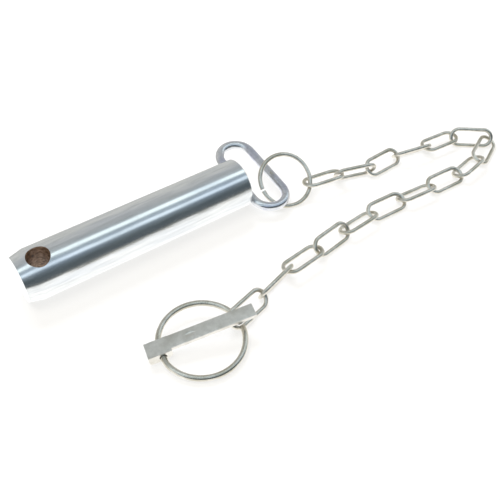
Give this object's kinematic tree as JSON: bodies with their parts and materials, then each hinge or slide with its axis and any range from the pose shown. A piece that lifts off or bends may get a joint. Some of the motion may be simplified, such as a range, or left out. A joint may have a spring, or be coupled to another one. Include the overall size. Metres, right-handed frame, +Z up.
{
  "type": "lower link pin",
  "caption": "Round steel hitch pin with a wire loop handle, a slanting cross hole in its chamfered tip, and a linch pin with spring ring kept on it by a link chain.",
  "frame": {"origin": "centre of the cross hole, on the pin's axis", "axes": "+X along the pin towards its handle, +Y level across it, away from the lean of the cross hole, +Z up from the floor it lies on; the floor is one pin radius below the origin"},
  "size_m": [0.304, 0.1358, 0.0286],
  "materials": {
    "zinc_pin": "bright zinc plate on turned steel",
    "zinc_handle": "bright zinc plate on drawn wire",
    "zinc_chain": "dull zinc plate on welded wire links",
    "zinc_wire": "zinc plate on spring wire",
    "zinc_linch": "dull zinc plate on forged steel"
  },
  "bodies": {
    "pin": {"pin_body": "zinc_pin", "pin_handle": "zinc_handle"},
    "chain_ring": {"chain_ring": "zinc_chain"},
    "chain_link_01": {"chain_link_01": "zinc_chain"},
    "chain_link_02": {"chain_link_02": "zinc_chain"},
    "chain_link_03": {"chain_link_03": "zinc_chain"},
    "chain_link_04": {"chain_link_04": "zinc_chain"},
    "chain_link_05": {"chain_link_05": "zinc_chain"},
    "chain_link_06": {"chain_link_06": "zinc_chain"},
    "chain_link_07": {"chain_link_07": "zinc_chain"},
    "chain_link_08": {"chain_link_08": "zinc_chain"},
    "chain_link_09": {"chain_link_09": "zinc_chain"},
    "chain_link_10": {"chain_link_10": "zinc_chain"},
    "chain_link_11": {"chain_link_11": "zinc_chain"},
    "chain_link_12": {"chain_link_12": "zinc_chain"},
    "chain_link_13": {"chain_link_13": "zinc_chain"},
    "chain_link_14": {"chain_link_14": "zinc_chain"},
    "chain_link_15": {"chain_link_15": "zinc_chain"},
    "chain_link_16": {"chain_link_16": "zinc_chain"},
    "linch_ring": {"linch_ring": "zinc_wire"},
    "linch_pin": {"linch_pin": "zinc_linch"}
  },
  "joints": [
    {"name": "ring_turn", "type": "hinge", "parent": "pin", "child": "chain_ring", "pos_m": [0.1498, -0.01117, -0.00352], "axis": [-0.1473, -0.5996, 0.7867], "range_deg": [-45, 45]},
    {"name": "link_01_swing", "type": "hinge", "parent": "chain_ring", "child": "chain_link_01", "pos_m": [0.16466, -0.01845, -0.00654], "axis": [0.0758, 0.2353, 0.969], "range_deg": [-45, 45]},
    {"name": "link_02_swing", "type": "hinge", "parent": "chain_link_01", "child": "chain_link_02", "pos_m": [0.18602, -0.02186, -0.00837], "axis": [-0.2711, -0.8867, -0.3746], "range_deg": [-45, 45]},
    {"name": "link_03_swing", "type": "hinge", "parent": "chain_link_02", "child": "chain_link_03", "pos_m": [0.2074, -0.0261, -0.00982], "axis": [-0.0336, 0.6419, -0.766], "range_deg": [-45, 45]},
    {"name": "link_04_swing", "type": "hinge", "parent": "chain_link_03", "child": "chain_link_04", "pos_m": [0.22999, -0.02663, -0.00931], "axis": [0.1418, 0.7295, 0.6691], "range_deg": [-45, 45]},
    {"name": "link_05_swing", "type": "hinge", "parent": "chain_link_04", "child": "chain_link_05", "pos_m": [0.24535, -0.02961, -0.00931], "axis": [0.1418, 0.7295, 0.6691], "range_deg": [-45, 45]},
    {"name": "link_06_swing", "type": "hinge", "parent": "chain_link_05", "child": "chain_link_06", "pos_m": [0.27303, -0.03525, -0.00887], "axis": [0.5104, 0.6533, -0.5592], "range_deg": [-45, 45]},
    {"name": "link_07_swing", "type": "hinge", "parent": "chain_link_06", "child": "chain_link_07", "pos_m": [0.28536, -0.04489, -0.00887], "axis": [0.5104, 0.6533, -0.5592], "range_deg": [-45, 45]},
    {"name": "link_08_swing", "type": "hinge", "parent": "chain_link_07", "child": "chain_link_08", "pos_m": [0.26528, -0.05681, -0.01094], "axis": [-0.0879, 0.4134, 0.9063], "range_deg": [-45, 45]},
    {"name": "link_09_swing", "type": "hinge", "parent": "chain_link_08", "child": "chain_link_09", "pos_m": [0.24361, -0.05984, -0.01078], "axis": [-0.0158, -0.4537, 0.891], "range_deg": [-45, 45]},
    {"name": "link_10_swing", "type": "hinge", "parent": "chain_link_09", "child": "chain_link_10", "pos_m": [0.22067, -0.05878, -0.01078], "axis": [-0.0317, -0.4529, -0.891], "range_deg": [-45, 45]},
    {"name": "link_11_swing", "type": "hinge", "parent": "chain_link_10", "child": "chain_link_11", "pos_m": [0.19775, -0.05744, -0.01078], "axis": [0.0158, 0.4537, -0.891], "range_deg": [-45, 45]},
    {"name": "link_12_swing", "type": "hinge", "parent": "chain_link_11", "child": "chain_link_12", "pos_m": [0.17502, -0.05751, -0.01078], "axis": [-0.0396, 0.4523, 0.891], "range_deg": [-45, 45]},
    {"name": "link_13_swing", "type": "hinge", "parent": "chain_link_12", "child": "chain_link_13", "pos_m": [0.15278, -0.05993, -0.00919], "axis": [0.1198, -0.7566, 0.6428], "range_deg": [-45, 45]},
    {"name": "link_14_swing", "type": "hinge", "parent": "chain_link_13", "child": "chain_link_14", "pos_m": [0.12989, -0.06329, -0.00904], "axis": [0.0253, -0.2064, -0.9781], "range_deg": [-45, 45]},
    {"name": "link_15_swing", "type": "hinge", "parent": "chain_link_14", "child": "chain_link_15", "pos_m": [0.10768, -0.06724, -0.00844], "axis": [0.2671, -0.8736, -0.4067], "range_deg": [-45, 45]},
    {"name": "link_16_swing", "type": "hinge", "parent": "chain_link_15", "child": "chain_link_16", "pos_m": [0.08565, -0.07371, -0.00943], "axis": [0.1862, -0.6948, 0.6947], "range_deg": [-45, 45]},
    {"name": "linch_ring_swing", "type": "hinge", "parent": "chain_link_16", "child": "linch_ring", "pos_m": [0.04864, -0.0783, -0.01004], "axis": [-0.0223, -0.1006, 0.9947], "range_deg": [-50, 0]},
    {"name": "linch_pin_flip", "type": "hinge", "parent": "linch_ring", "child": "linch_pin", "pos_m": [0.02896, -0.0718, -0.00982], "axis": [-0.2153, -0.9711, -0.103], "range_deg": [0, 110]}
  ]
}
